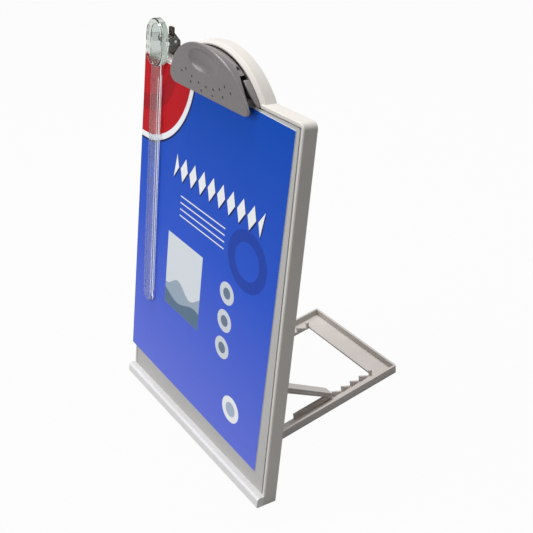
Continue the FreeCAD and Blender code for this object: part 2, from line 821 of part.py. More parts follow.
def strut():
    side = [(0, -strut_root / 2), (strut_length, -strut_tip / 2),
            (strut_length, strut_tip / 2 - strut_tip_chamfer),
            (strut_length - strut_tip_chamfer, strut_tip / 2), (0, strut_root / 2)]
    parts = []
    for start in (strut_inside, -strut_outside):
        parts.append(side_plate(side, start, start + strut_leg_width))
        parts.append(rod(strut_root / 2, start, start + strut_leg_width, 0, 0))
    bridge_top = strut_root / 2 - strut_tip_chamfer
    bridge_start = strut_lug_radius + lug_wall
    bridge = box(-strut_inside - overrun, strut_inside + overrun, bridge_start, strut_bridge,
                 bridge_top - strut_bridge_thickness, bridge_top)
    body = bridge.multiFuse(parts)
    bore = rod(strut_pin_radius + pin_play, -strut_outside - overrun, strut_outside + overrun, 0, 0)
    body = body.cut(bore).removeSplitter()
    body.rotate(origin, across, -math.degrees(strut_slope))
    body.translate(FreeCAD.Vector(0, strut_pin_back, strut_pin_up))
    return body


board_pieces = [back_shell, top_arch, front_panel, bottom_ledge, panel_screws, document_sheet, clip_base,
                clip_screws, clip_pin, clip_spring, clip_lever, clip_pad, guide_strip, guide_head, guide_pin,
                guide_spring, guide_rear_lever, stand_pins, strut_pins]
table_pieces = [stand_frame, strut]

os.makedirs("parts", exist_ok=True)
for pieces, place in ((board_pieces, lean_back), (table_pieces, on_table)):
    for piece in pieces:
        place(piece()).exportStep("parts/" + piece.__name__ + ".step")
print("centre shift", round(centre_shift, 3), "foot place", round(foot_place, 3))
print("strut slope", round(math.degrees(strut_slope), 2), "length", round(strut_length, 1))
for label, depth, height in (("stand pin", stand_pin_depth, stand_pin_rise),
                             ("strut pin", strut_pin_depth, strut_pin_rise),
                             ("clip pin", -clip_pin_reach, clip_pin_height),
                             ("guide pin", guide_pin_depth, guide_pin_height)):
    back, up = board_to_table(depth, height)
    print(label, "at y", round(back + foot_place, 3), "z", round(up, 3))
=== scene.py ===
import bmesh
import bpy
import math
from mathutils import Matrix, Vector


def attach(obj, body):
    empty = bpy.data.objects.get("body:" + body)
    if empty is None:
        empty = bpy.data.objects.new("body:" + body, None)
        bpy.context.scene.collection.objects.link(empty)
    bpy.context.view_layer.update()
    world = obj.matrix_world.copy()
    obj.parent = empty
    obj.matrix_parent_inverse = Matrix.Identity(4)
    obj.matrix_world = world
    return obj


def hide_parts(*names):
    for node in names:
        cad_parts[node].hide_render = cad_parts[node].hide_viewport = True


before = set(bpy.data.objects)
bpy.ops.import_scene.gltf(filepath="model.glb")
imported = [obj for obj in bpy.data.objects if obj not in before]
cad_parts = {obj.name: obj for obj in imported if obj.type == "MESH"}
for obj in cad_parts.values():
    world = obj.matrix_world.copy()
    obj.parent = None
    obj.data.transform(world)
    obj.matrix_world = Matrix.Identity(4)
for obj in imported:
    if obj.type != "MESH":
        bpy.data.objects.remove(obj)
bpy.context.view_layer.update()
print("frame loaded:", len(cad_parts), "nodes")

mm = 0.001

# The board leans back from the foot of its rear face; its pieces are drawn upright, in millimetres
board = {
    "height": 328.0, "depth": 12.3, "lean": 12.75,
    "shift": 2.484, "foot": -81.313,     # the middle of the board, and its rear foot, on the table
}
leanAngle = math.radians(board["lean"])
boardPlace = (
    Matrix.Translation(Vector((board["shift"],
                               board["foot"] - board["depth"] * math.cos(leanAngle),
                               board["depth"] * math.sin(leanAngle))) * mm)
    @ Matrix.Rotation(-leanAngle, 4, "X")
    @ Matrix.Scale(mm, 4)
)


# Helpers

def hexColour(code):
    # an sRGB hex colour as the linear values that the shaders take
    channels = [int(code[i:i + 2], 16) / 255 for i in (1, 3, 5)]
    linear = [c / 12.92 if c <= 0.04045 else ((c + 0.055) / 1.055) ** 2.4 for c in channels]
    return (*linear, 1.0)


def addNode(tree, kind, links=None, values=None, **settings):
    # one node with its settings, its fixed values and the sockets that feed it
    node = tree.nodes.new(kind)
    for name, value in settings.items():
        setattr(node, name, value)
    for key, value in (values or {}).items():
        node.inputs[key].default_value = value
    for key, socket in (links or {}).items():
        tree.links.new(socket, node.inputs[key])
    return node


def mathNode(tree, operation, *given, clamp=False):
    # a Math node; each of its inputs is a number or a socket
    sockets = {i: value for i, value in enumerate(given) if not isinstance(value, (int, float))}
    numbers = {i: value for i, value in enumerate(given) if isinstance(value, (int, float))}
    return addNode(tree, "ShaderNodeMath", sockets, numbers, operation=operation, use_clamp=clamp).outputs[0]


def newMaterial(name):
    material = bpy.data.materials.new(name)
    material.use_nodes = True
    material.node_tree.nodes.clear()
    return material, material.node_tree


def closeMaterial(tree, surface):
    addNode(tree, "ShaderNodeOutputMaterial", {"Surface": surface})


def paintSurface(tree, links, values):
    surface = addNode(tree, "ShaderNodeBsdfPrincipled", links, values)
    closeMaterial(tree, surface.outputs["BSDF"])


def objectNoise(tree, size, detail, **more):
    # noise fixed to the object, its pattern's size in millimetres
    place = addNode(tree, "ShaderNodeTexCoord").outputs["Object"]
    return addNode(tree, "ShaderNodeTexNoise", {"Vector": place},
                   {"Scale": 1 / (size * mm), "Detail": detail, **more}).outputs["Fac"]


def stretched(tree, value, low, high, toLow=0.0, toHigh=1.0):
    # a value taken from one range to another
    return addNode(tree, "ShaderNodeMapRange", {"Value": value},
                   {"From Min": low, "From Max": high, "To Min": toLow, "To Max": toHigh}).outputs["Result"]


def blended(tree, share, first, second):
    # from one hex colour to another as the share goes from 0 to 1
    mix = addNode(tree, "ShaderNodeMix", {"Factor": share}, data_type="RGBA")
    mix.inputs["A"].default_value = hexColour(first)
    mix.inputs["B"].default_value = hexColour(second)
    return mix.outputs["Result"]


def bumped(tree, height, strength, distance):
    # the normal of a skin that a height raises by up to a distance in millimetres
    return addNode(tree, "ShaderNodeBump", {"Height": height},
                   {"Strength": strength, "Distance": distance * mm}).outputs["Normal"]


def addObject(name, data):
    item = bpy.data.objects.new(name, data)
    bpy.context.collection.objects.link(item)
    return item


def flatNormals(piece):
    # normals that follow the large faces, so that these look flat beside their rounded edges
    flatten = piece.modifiers.new("flatten", "WEIGHTED_NORMAL")
    flatten.weight = edgeFinish["faceWeight"]
    return flatten


def meshPiece(name, mesh, body, material, smooth):
    # a finished mesh as a piece at the origin, smooth but for its real edges
    piece = addObject(name, mesh)
    if material:
        mesh.materials.clear()
        mesh.materials.append(material)
    mesh.shade_smooth()
    mesh.set_sharp_from_angle(angle=math.radians(smooth))
    piece.modifiers.new("facets", "TRIANGULATE")
    flatNormals(piece).keep_sharp = True
    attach(piece, body)
    return piece


def evaluatedMesh(holder, name):
    # the result of an object's modifiers as a plain mesh
    bpy.context.view_layer.update()
    graph = bpy.context.evaluated_depsgraph_get()
    mesh = bpy.data.meshes.new_from_object(holder.evaluated_get(graph))
    mesh.name = name
    bpy.data.objects.remove(holder)
    return mesh


# Materials of the plastics and metals

plasticLooks = {
    # the moulded ABS of the shell: pale warm grey, a faint pearskin and a soft shine
    "shellAbs": {"colour": "#DAD6D1", "shade": "#CEC9C3", "roughness": 0.38,
                 "grain": 0.55, "depth": 0.020, "patch": 46.0},
    # the front panel: the same ABS from a smoother mould, a little darker
    "panelAbs": {"colour": "#BEBDBC", "shade": "#B3B2AF", "roughness": 0.36,
                 "grain": 0.70, "depth": 0.014, "patch": 60.0},
    # the ledge: pale ABS, evenly a little brighter than the shell
    "ledgeAbs": {"colour": "#EAE9E9", "shade": "#E0DFDE", "roughness": 0.36,
                 "grain": 0.60, "depth": 0.018, "patch": 34.0},
    # the clip lever and its base: mid grey ABS with a satin skin
    "clipAbs": {"colour": "#807A7B", "shade": "#767071", "roughness": 0.28,
                "grain": 0.60, "depth": 0.014, "patch": 18.0},
    # the stand and strut: a tougher grey ABS, slightly warmer, with flow marks
    "standAbs": {"colour": "#D2CCC8", "shade": "#C4BDB8", "roughness": 0.40,
                 "grain": 0.60, "depth": 0.022, "patch": 26.0},
    # the sprung lever behind the guide: dark moulded nylon, duller
    "clampNylon": {"colour": "#453931", "shade": "#382E28", "roughness": 0.40,
                   "grain": 0.40, "depth": 0.026, "patch": 9.0},
    # the pits in the clip lever: the same ABS painted darker, a painted shade for the shadow that falls in
    # the pits
    "pitPaintedShade": {"colour": "#4E494B", "shade": "#444042", "roughness": 0.60,
               "grain": 0.40, "depth": 0.020, "patch": 5.0},
}
plasticSkin = {
    "patchDetail": 3.0, "patchRoughness": 0.55, "patchLow": 0.3, "patchHigh": 0.7,
    "shinier": 0.05, "duller": 0.06, "grainDetail": 2.0, "bump": 0.5, "refraction": 1.53,
}


def mouldedPlastic(name, look):
    # broad patches of two near colours and two shines, under a fine grain
    skin = plasticSkin
    material, tree = newMaterial(name)
    patches = objectNoise(tree, look["patch"], skin["patchDetail"], Roughness=skin["patchRoughness"])
    grain = objectNoise(tree, look["grain"], skin["grainDetail"])
    dull = stretched(tree, patches, skin["patchLow"], skin["patchHigh"],
                     look["roughness"] - skin["shinier"], look["roughness"] + skin["duller"])
    paintSurface(tree, {"Base Color": blended(tree, patches, look["shade"], look["colour"]),
                        "Roughness": dull, "Normal": bumped(tree, grain, skin["bump"], look["depth"])},
                 {"IOR": skin["refraction"]})
    return material


acrylicLooks = {
    # each face colour is the plastic's tint; each rim colour is a painted dark reflection, laid in where the
    # plastic is seen edge-on
    # the thin strip: glass-clear moulded acrylic with a breath of grey
    "clearAcrylic": {"face": "#EEF2F6", "rim": "#7F8A94"},
    # the thick cap of the same acrylic, with a greyer tint
    "thickAcrylic": {"face": "#DFE4DE", "rim": "#6F746E"},
}
acrylicSkin = {
    "rubAcross": 0.8, "rubAlong": 9.0, "rubDetail": 2.0, "rubLow": 0.45, "rubHigh": 0.8,
    "clean": 0.01, "rubbed": 0.03, "blend": 0.35, "edgeShadeLow": 0.35, "edgeShadeHigh": 0.9, "refraction": 1.49,
}


def clearAcrylic(name, look):
    # clear plastic with a painted dark reflection where it is seen edge-on, with very fine rub marks along it
    skin = acrylicSkin
    material, tree = newMaterial(name)
    place = addNode(tree, "ShaderNodeTexCoord").outputs["Object"]
    scale = [1 / (size * mm) for size in (skin["rubAcross"], skin["rubAlong"], skin["rubAlong"])]
    along = addNode(tree, "ShaderNodeMapping", {"Vector": place}, {"Scale": scale})
    rubs = addNode(tree, "ShaderNodeTexNoise", {"Vector": along.outputs["Vector"]},
                   {"Scale": 1.0, "Detail": skin["rubDetail"]})
    dull = stretched(tree, rubs.outputs["Fac"], skin["rubLow"], skin["rubHigh"],
                     skin["clean"], skin["rubbed"])
    # the painted dark reflection: more of the rim colour as the surface turns edge-on
    facing = addNode(tree, "ShaderNodeLayerWeight", values={"Blend": skin["blend"]}).outputs["Facing"]
    edge = stretched(tree, facing, skin["edgeShadeLow"], skin["edgeShadeHigh"])
    paintSurface(tree, {"Base Color": blended(tree, edge, look["face"], look["rim"]), "Roughness": dull},
                 {"IOR": skin["refraction"], "Transmission Weight": 1.0})
    return material


metalLooks = {
    # nickel-plated pins: bright, almost a mirror
    "nickelPlate": {"colour": "#DADADC", "roughness": 0.12, "mark": 0.35},
    # spring wire: bright drawn steel
    "springSteel": {"colour": "#C9C9CC", "roughness": 0.22, "mark": 0.20},
    # zinc-plated screws: bluish, a little cloudy
    "zincPlate": {"colour": "#B9BCC2", "roughness": 0.34, "mark": 0.60},
}
metalSkin = {"markDetail": 3.0, "markLow": 0.35, "markHigh": 0.75, "shinier": 0.04, "duller": 0.08}


def brightMetal(name, look):
    skin = metalSkin
    material, tree = newMaterial(name)
    marks = objectNoise(tree, look["mark"], skin["markDetail"])
    dull = stretched(tree, marks, skin["markLow"], skin["markHigh"],
                     look["roughness"] - skin["shinier"], look["roughness"] + skin["duller"])
    paintSurface(tree, {"Roughness": dull}, {"Base Color": hexColour(look["colour"]), "Metallic": 1.0})
    return material


# the jaw's grip strip: matt black rubber, slightly dusty
rubberLook = {
    "clean": "#26262A", "dusty": "#38383C", "dust": 2.5, "dustDetail": 4.0,
    "bump": 0.4, "depth": 0.05, "roughness": 0.82, "refraction": 1.52,
}


def softRubber(look):
    material, tree = newMaterial("softRubber")
    dust = objectNoise(tree, look["dust"], look["dustDetail"])
    paintSurface(tree, {"Base Color": blended(tree, dust, look["clean"], look["dusty"]),
                        "Normal": bumped(tree, dust, look["bump"], look["depth"])},
                 {"Roughness": look["roughness"], "IOR": look["refraction"]})
    return material


# The printed sheet: shapes worked out in millimetres from the middle of its bottom edge

sheetPlan = {
    "height": 297.0, "offset": -10.0, "foot": 26.9, "turn": 1.42, "edgeBlur": 0.25,
    "top": "#044BB6", "middle": "#2B58D0", "bottom": "#6676E2", "middlePlace": 0.52,
    "white": "#F4F6FA", "shadow": "#16265E", "back": "#E9ECF0",
    # a faint ring in the ground's own colour
    "ringPlace": (66.0, 176.0), "ringRadius": 21.0, "ringThickness": 5.0, "ringBlur": 0.6, "ringShare": 0.7,
    "ringColour": "#1F3E9E",
    # the corner disc with its rim, the rim's shadow and a darker arc
    "discPlace": (-103.0, 300.0), "discRadius": 74.0, "discRim": 5.0, "discShadow": 2.0,
    "discColour": "#BE0F1B", "arcPlace": 0.62, "arcThickness": 7.0, "arcBlur": 1.0, "arcShare": 0.6,
    "arcColour": "#8E0F1C",
    # the row of leaning lozenges and its shadow
    "bandMiddle": 214.0, "bandFirst": -84.0, "bandStep": 14.0, "bandCount": 9, "bandSlant": 0.18,
    "bandFill": 0.40, "bandSteepness": 0.5, "bandShadow": (1.4, -1.4),
    "rulesTop": 190.0, "ruleStep": 6.0, "ruleCount": 4, "ruleHalf": 0.55,
    "ruleLeft": -34.0, "ruleRight": 34.0, "ruleMargin": 2.0,
    "panelLeft": -50.0, "panelRight": 6.0, "panelFoot": 78.0, "panelTop": 150.0, "panelColour": "#DDE4EA",
    # the panel's two waves: colour, height over its foot, swell, turn for each millimetre, start
    "waves": (("#9FB0C0", 26.0, 5.0, 0.16, 0.0), ("#5F7890", 13.0, 4.0, 0.11, 1.7)), "waveBlur": 0.5,
    "tilesLeft": 34.0, "tilesFoot": 74.0, "tileSize": 20.0, "tileStep": 26.0, "tileCount": 3,
    "tileColour": "#D5DCE4", "tileCore": "#6E7F96", "tileCoreShare": 0.5,
    "spotPlace": (64.0, 34.0), "spotRadius": 12.0, "spotCore": "#AEBBD0", "spotCoreShare": 0.55,
}

# glossy coated paper, faintly rippled
paperLook = {
    "fibre": 14.0, "fibreDetail": 2.0, "fibreLow": 0.3, "fibreHigh": 0.7, "shiny": 0.36, "dull": 0.46,
    "bump": 0.12, "ripple": 0.3, "refraction": 1.45, "reflection": 0.14, "frontTilt": -0.5,
}


def printedSheet(plan, look):
    # a plain pattern of discs, lozenges, rules and waves, printed on the front only
    material, tree = newMaterial("printedSheet")
    turn = Matrix.Rotation(-leanAngle, 3, "X") @ Matrix.Rotation(math.radians(plan["turn"]), 3, "Y")
    foot = boardPlace @ Vector((plan["offset"], 0, plan["foot"]))
    place = addNode(tree, "ShaderNodeTexCoord").outputs["Object"]
    onSheet = addNode(tree, "ShaderNodeMapping", {"Vector": place},
                      {"Location": foot, "Rotation": turn.to_euler("XYZ"), "Scale": (mm, mm, mm)},
                      vector_type="TEXTURE")
    parts = addNode(tree, "ShaderNodeSeparateXYZ", {"Vector": onSheet.outputs["Vector"]})
    across, up = parts.outputs["X"], parts.outputs["Z"]

    def calc(operation, *given, clamp=False):
        return mathNode(tree, operation, *given, clamp=clamp)

    def inside(distance, blur=plan["edgeBlur"]):
        # 1 where a distance in millimetres is below nothing, with a printed edge's softness
        return calc("MULTIPLY_ADD", distance, -1 / blur, 0.5, clamp=True)

    def away(x, y):
        side = calc("POWER", calc("SUBTRACT", across, x), 2.0)
        rise = calc("POWER", calc("SUBTRACT", up, y), 2.0)
        return calc("SQRT", calc("ADD", side, rise))

    def disc(distance, radius):
        return inside(calc("SUBTRACT", distance, radius))

    def ring(distance, radius, half, blur):
        return inside(calc("SUBTRACT", calc("ABSOLUTE", calc("SUBTRACT", distance, radius)), half), blur)

    def block(left, right, bottom, top):
        side = calc("SUBTRACT", calc("ABSOLUTE", calc("SUBTRACT", across, (left + right) / 2)),
                    (right - left) / 2)
        rise = calc("SUBTRACT", calc("ABSOLUTE", calc("SUBTRACT", up, (bottom + top) / 2)),
                    (top - bottom) / 2)
        return inside(calc("MAXIMUM", side, rise))

    def lozenges(dropX, dropY):
        # a row of leaning lozenges, worked out from the place within one step
        half = plan["bandStep"] / 2
        slant = calc("SUBTRACT", calc("MULTIPLY_ADD", up, -plan["bandSlant"], across), dropX)
        fold = calc("PINGPONG", calc("SUBTRACT", slant, plan["bandFirst"] + half), half)
        side = calc("SUBTRACT", half, fold)
        rise = calc("ABSOLUTE", calc("SUBTRACT", up, plan["bandMiddle"] + dropY))
        shape = calc("SUBTRACT", calc("MULTIPLY_ADD", rise, plan["bandSteepness"], side),
                     plan["bandStep"] * plan["bandFill"])
        reach = plan["bandCount"] * half
        along = calc("ABSOLUTE", calc("SUBTRACT", slant, plan["bandFirst"] + reach))
        return calc("MULTIPLY", inside(shape), inside(calc("SUBTRACT", along, reach)))

    def paint(ground, mask, colour):
        mix = addNode(tree, "ShaderNodeMix", {"Factor": mask, "A": ground}, data_type="RGBA")
        mix.inputs["B"].default_value = hexColour(colour)
        return mix.outputs["Result"]

    ramp = addNode(tree, "ShaderNodeValToRGB", {"Fac": calc("DIVIDE", up, plan["height"])})
    ramp.color_ramp.elements[0].color = hexColour(plan["bottom"])
    ramp.color_ramp.elements[1].color = hexColour(plan["top"])
    ramp.color_ramp.elements.new(plan["middlePlace"]).color = hexColour(plan["middle"])
    picture = ramp.outputs["Color"]

    halo = ring(away(*plan["ringPlace"]), plan["ringRadius"], plan["ringThickness"], plan["ringBlur"])
    picture = paint(picture, calc("MULTIPLY", halo, plan["ringShare"]), plan["ringColour"])

    sweep = away(*plan["discPlace"])
    rim = plan["discRadius"] + plan["discRim"]
    picture = paint(picture, disc(sweep, rim + plan["discShadow"]), plan["shadow"])
    picture = paint(picture, disc(sweep, rim), plan["white"])
    picture = paint(picture, disc(sweep, plan["discRadius"]), plan["discColour"])
    arc = ring(sweep, plan["discRadius"] * plan["arcPlace"], plan["arcThickness"], plan["arcBlur"])
    picture = paint(picture, calc("MULTIPLY", arc, plan["arcShare"]), plan["arcColour"])

    picture = paint(picture, lozenges(*plan["bandShadow"]), plan["shadow"])
    picture = paint(picture, lozenges(0.0, 0.0), plan["white"])

    fold = calc("PINGPONG", calc("SUBTRACT", up, plan["rulesTop"]), plan["ruleStep"] / 2)
    rulesFoot = plan["rulesTop"] - (plan["ruleCount"] - 0.5) * plan["ruleStep"]
    rules = calc("MULTIPLY", inside(calc("SUBTRACT", fold, plan["ruleHalf"])),
                 block(plan["ruleLeft"], plan["ruleRight"], rulesFoot, plan["rulesTop"] + plan["ruleMargin"]))
    picture = paint(picture, rules, plan["white"])

    panel = block(plan["panelLeft"], plan["panelRight"], plan["panelFoot"], plan["panelTop"])
    picture = paint(picture, panel, plan["panelColour"])
    for colour, rise, swell, pace, start in plan["waves"]:
        wave = calc("MULTIPLY", calc("SINE", calc("MULTIPLY_ADD", across, pace, start)), swell)
        below = calc("SUBTRACT", calc("SUBTRACT", up, wave), plan["panelFoot"] + rise)
        picture = paint(picture, calc("MULTIPLY", inside(below, plan["waveBlur"]), panel), colour)

    radius = plan["tileSize"] / 2
    for number in range(plan["tileCount"]):
        tile = away(plan["tilesLeft"] + radius, plan["tilesFoot"] + number * plan["tileStep"] + radius)
        picture = paint(picture, disc(tile, radius), plan["tileColour"])
        picture = paint(picture, disc(tile, radius * plan["tileCoreShare"]), plan["tileCore"])

    spot = away(*plan["spotPlace"])
    picture = paint(picture, disc(spot, plan["spotRadius"]), plan["white"])
    picture = paint(picture, disc(spot, plan["spotRadius"] * plan["spotCoreShare"]), plan["spotCore"])

    # the sheet's own normal tells its front from its edges and back
    normal = addNode(tree, "ShaderNodeNewGeometry").outputs["Normal"]
    normalParts = addNode(tree, "ShaderNodeSeparateXYZ", {"Vector": normal})
    front = calc("LESS_THAN", normalParts.outputs["Y"], look["frontTilt"])
    printed = addNode(tree, "ShaderNodeMix", {"Factor": front, "B": picture}, data_type="RGBA")
    printed.inputs["A"].default_value = hexColour(plan["back"])
    fibre = objectNoise(tree, look["fibre"], look["fibreDetail"])
    dull = stretched(tree, fibre, look["fibreLow"], look["fibreHigh"], look["shiny"], look["dull"])
    paintSurface(tree, {"Base Color": printed.outputs["Result"], "Roughness": dull,
                        "Normal": bumped(tree, fibre, look["bump"], look["ripple"])},
                 {"IOR": look["refraction"], "Specular IOR Level": look["reflection"]})
    return material


materials = {name: mouldedPlastic(name, look) for name, look in plasticLooks.items()}
materials.update({name: brightMetal(name, look) for name, look in metalLooks.items()})
materials.update({name: clearAcrylic(name, look) for name, look in acrylicLooks.items()})
materials["softRubber"] = softRubber(rubberLook)
materials["printedSheet"] = printedSheet(sheetPlan, paperLook)
print("materials made:", len(materials))


# The frame's own pieces, with a small bevel and soft normals over their edges

nodeFinish = {
    "back_shell": ("shellAbs", 0.35), "top_arch": ("shellAbs", 0.5), "front_panel": ("panelAbs", 0.3),
    "bottom_ledge": ("ledgeAbs", 0.3), "document_sheet": ("printedSheet", 0.0),
    "clip_pad": ("softRubber", 0.0), "clip_pin": ("nickelPlate", 0.2),
    "guide_strip": ("clearAcrylic", 0.0), "guide_head": ("thickAcrylic", 0.0),
    "guide_pin": ("nickelPlate", 0.15), "guide_rear_lever": ("clampNylon", 0.2),
    "stand_frame": ("standAbs", 0.3), "stand_pins": ("nickelPlate", 0.15),
    "strut": ("standAbs", 0.3), "strut_pins": ("nickelPlate", 0.15),
}

# millimetres and degrees; the weight of large faces is the most that there is
edgeFinish = {"weld": 0.002, "segments": 2, "bevelAngle": 38.0, "splitAngle": 32.0, "faceWeight": 100}


def dressNode(name, materialName, bevel):
    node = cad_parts[name]
    node.data.materials.clear()
    node.data.materials.append(materials[materialName])
    for face in node.data.polygons:
        face.use_smooth = True
    weld = node.modifiers.new("weld", "WELD")
    weld.merge_threshold = edgeFinish["weld"] * mm
    if bevel:
        edge = node.modifiers.new("edge", "BEVEL")
        edge.width = bevel * mm
        edge.segments = edgeFinish["segments"]
        edge.limit_method = "ANGLE"
        edge.angle_limit = math.radians(edgeFinish["bevelAngle"])
    split = node.modifiers.new("split", "EDGE_SPLIT")
    split.split_angle = math.radians(edgeFinish["splitAngle"])
    flatNormals(node)


for nodeName, (materialName, bevel) in nodeFinish.items():
    dressNode(nodeName, materialName, bevel)
print("frame pieces dressed:", len(nodeFinish))


# Clip lever: a domed half moon with a rounded rim, a thumb hollow and two rows of dimples

lever = {
    "radius": 60.0, "rise": 44.5, "corner": 6.0, "depth": 14.0, "spread": 0.97, "fall": 0.6, "wall": 2.2,
    "rim": 1.9, "tilt": 12.0, "reach": 6.0, "jaw": 316.0, "backGap": 0.9, "jawWall": 6.0, "smooth": 32.0,
    "hollowWidth": 42.0, "hollowHeight": 20.0, "hollowDepth": 3.6, "hollowPlace": 29.5, "hollowFloor": 5.0,
    "hollowLift": 1.5,     # how far the ball's middle stands off the face, in depths, for a shallow edge
    "dotRadius": 1.15, "dotLift": 0.35, "dotStretch": 5 / 3, "rowAngle": 105.0,
    "nearRing": 20.5, "nearCount": 7, "farRing": 26.0, "farCount": 6,
    "padDepth": 2.4, "padBack": 14.0, "padBelow": 14.0, "padAbove": 7.0,
    "pinReach": 3.2, "pinRise": 19.0, "bossRadius": 3.1, "bossStart": 26.5, "bossEnd": 34.0, "pinHole": 1.55,
    # room for the base's ears, round the pin and behind it as the lever swings
    "earStart": 16.7, "earEnd": 20.3, "earRoom": 4.7, "swingRoom": 0.5, "swingSide": 0.1, "swingBack": 2.0,
    # the rear edge of the skirt below the pin, as (depth, height) on the board, and how far in it starts
    "skirtEdge": ((-6.2, 343.8), (-7.2, 340.0), (-7.7, 334.0), (-7.3, 329.0), (-6.3, 322.4)),
    "skirtInside": 30.0, "cornerEdge": ((-6.0, 322.6), (-5.2, 318.0), (-4.7, 314.0)), "cornerInside": 48.5,
    "jawSteps": 12, "cornerSteps": 8, "topSteps": 72, "rimSteps": 8, "skirtSteps": 7,
    "hollowSegments": 96, "hollowRings": 64, "dotSegments": 14, "dotRings": 9, "rodSegments": 40,
    # how far the cutters reach, so that they end outside the lever
    "overrun": 1.0, "pastSide": 70.0, "pastSkirt": 75.0, "pastBack": 30.0, "pastRoom": 20.0, "pastTop": 60.0,
    "belowJaw": 3.0, "aboveJaw": 70.0,
}


def moonOutline(radius, rise, corner):
    # a round top on a straight jaw, its two corners rounded; the same number of points for any size
    jawSteps, cornerSteps, topSteps = lever["jawSteps"], lever["cornerSteps"], lever["topSteps"]
    centre = rise - radius
    cornerX = math.sqrt((radius - corner) ** 2 - (corner - centre) ** 2)
    touch = math.atan2(corner - centre, cornerX)
    bend = touch + math.pi / 2
    points = [(cornerX * (share / jawSteps - 1), 0.0) for share in range(1, 2 * jawSteps)]
    for step in range(cornerSteps + 1):
        angle = -math.pi / 2 + bend * step / cornerSteps
        points.append((cornerX + corner * math.cos(angle), corner + corner * math.sin(angle)))
    for step in range(1, topSteps):
        angle = touch + (math.pi - 2 * touch) * step / topSteps
        points.append((radius * math.cos(angle), centre + radius * math.sin(angle)))
    for step in range(cornerSteps + 1):
        angle = math.pi - touch + bend * step / cornerSteps
        points.append((-cornerX + corner * math.cos(angle), corner + corner * math.sin(angle)))
    return points


def joinLoops(shape, loops):
    # quads from each loop to the next, and a face at each end
    for near, far in zip(loops, loops[1:]):
        for i in range(len(near)):
            j = (i + 1) % len(near)
            shape.faces.new((near[i], near[j], far[j], far[i]))
    shape.faces.new(loops[0][::-1])
    shape.faces.new(loops[-1])
    bmesh.ops.recalc_face_normals(shape, faces=shape.faces)


def moonLoft(stations):
    # a closed loft through outlines at (depth, inset); the skirt spreads to the arch as it goes back
    shape = bmesh.new()
    loops = []
    for depth, inset in stations:
        outline = moonOutline(lever["radius"] + lever["spread"] * depth - inset,
                              lever["rise"] - lever["fall"] * depth - inset, lever["corner"])
        loops.append([shape.verts.new((x, depth, z)) for x, z in outline])
    joinLoops(shape, loops)
    twisted = [face for face in shape.faces if len(face.verts) == 4]
    bmesh.ops.triangulate(shape, faces=twisted)
    return shape


def toolObject(name, shape):
    mesh = bpy.data.meshes.new(name)
    shape.to_mesh(mesh)
    shape.free()
    return addObject(name, mesh)


def blockShape(low, high):
    shape = bmesh.new()
    bmesh.ops.create_cube(shape, size=1.0)
    size = Vector(high) - Vector(low)
    middle = (Vector(high) + Vector(low)) / 2
    for vert in shape.verts:
        vert.co = Vector(c * s for c, s in zip(vert.co, size)) + middle
    return shape


def prismShape(edge, left, right):
    # everything behind an edge of (depth, height) points, between two sides
    back = lever["pastBack"]
    outline = [(back, edge[0][1]), *edge, (back, edge[-1][1])]
    shape = bmesh.new()
    joinLoops(shape, [[shape.verts.new((x, y, z)) for y, z in outline] for x in (left, right)])
    return shape


def rodShape(radius, left, right, depth, height):
    shape = bmesh.new()
    turn = Matrix.Translation(((left + right) / 2, depth, height)) @ Matrix.Rotation(math.pi / 2, 4, "Y")
    bmesh.ops.create_cone(shape, cap_ends=True, segments=lever["rodSegments"], radius1=radius, radius2=radius,
                          depth=right - left, matrix=turn)
    return shape


def applyTool(target, tool, operation):
    cut = target.modifiers.new(tool.name, "BOOLEAN")
    cut.object = tool
    cut.operation = operation
    cut.solver = "EXACT"
    cut.material_mode = "TRANSFER"


def newTree(name, inputs):
    # a Geometry Nodes tree with its named inputs and one output
    tree = bpy.data.node_groups.new(name, "GeometryNodeTree")
    for label, kind in inputs.items():
        tree.interface.new_socket(label, in_out="INPUT", socket_type="NodeSocket" + kind)
    tree.interface.new_socket("Geometry", in_out="OUTPUT", socket_type="NodeSocketGeometry")
    return tree, addNode(tree, "NodeGroupInput").outputs


def closeTree(tree, instances, material):
    # the instances as real geometry in one material
    real = addNode(tree, "GeometryNodeRealizeInstances", {0: instances})
    finish = addNode(tree, "GeometryNodeSetMaterial", {"Geometry": real.outputs[0], "Material": material})
    addNode(tree, "NodeGroupOutput", {0: finish.outputs[0]})


def dimpleTree():
    # a bent row of small balls, which press the dimples into the lever's face
    tree, given = newTree("dimpleRow", {
        "Ring": "Float", "Count": "Int", "Row angle": "Float", "Stretch": "Float", "Middle height": "Float",
        "Lift": "Float", "Ball radius": "Float", "Material": "Material"})
    index = addNode(tree, "GeometryNodeInputIndex").outputs[0]
    share = mathNode(tree, "DIVIDE", index, mathNode(tree, "SUBTRACT", given["Count"], 1.0))
    angle = mathNode(tree, "MULTIPLY", mathNode(tree, "SUBTRACT", share, 0.5), given["Row angle"])
    wide = mathNode(tree, "MULTIPLY", given["Ring"], given["Stretch"])
    x = mathNode(tree, "MULTIPLY", mathNode(tree, "SINE", angle), wide)
    drop = mathNode(tree, "MULTIPLY", mathNode(tree, "COSINE", angle), given["Ring"])
    z = mathNode(tree, "SUBTRACT", given["Middle height"], drop)
    spot = addNode(tree, "ShaderNodeCombineXYZ", {"X": x, "Y": given["Lift"], "Z": z})
    row = addNode(tree, "GeometryNodePoints", {"Count": given["Count"], "Position": spot.outputs[0]})
    ball = addNode(tree, "GeometryNodeMeshUVSphere", {"Radius": given["Ball radius"]},
                   {"Segments": lever["dotSegments"], "Rings": lever["dotRings"]})
    placed = addNode(tree, "GeometryNodeInstanceOnPoints",
                     {"Points": row.outputs[0], "Instance": ball.outputs[0]})
    closeTree(tree, placed.outputs[0], given["Material"])
    return tree


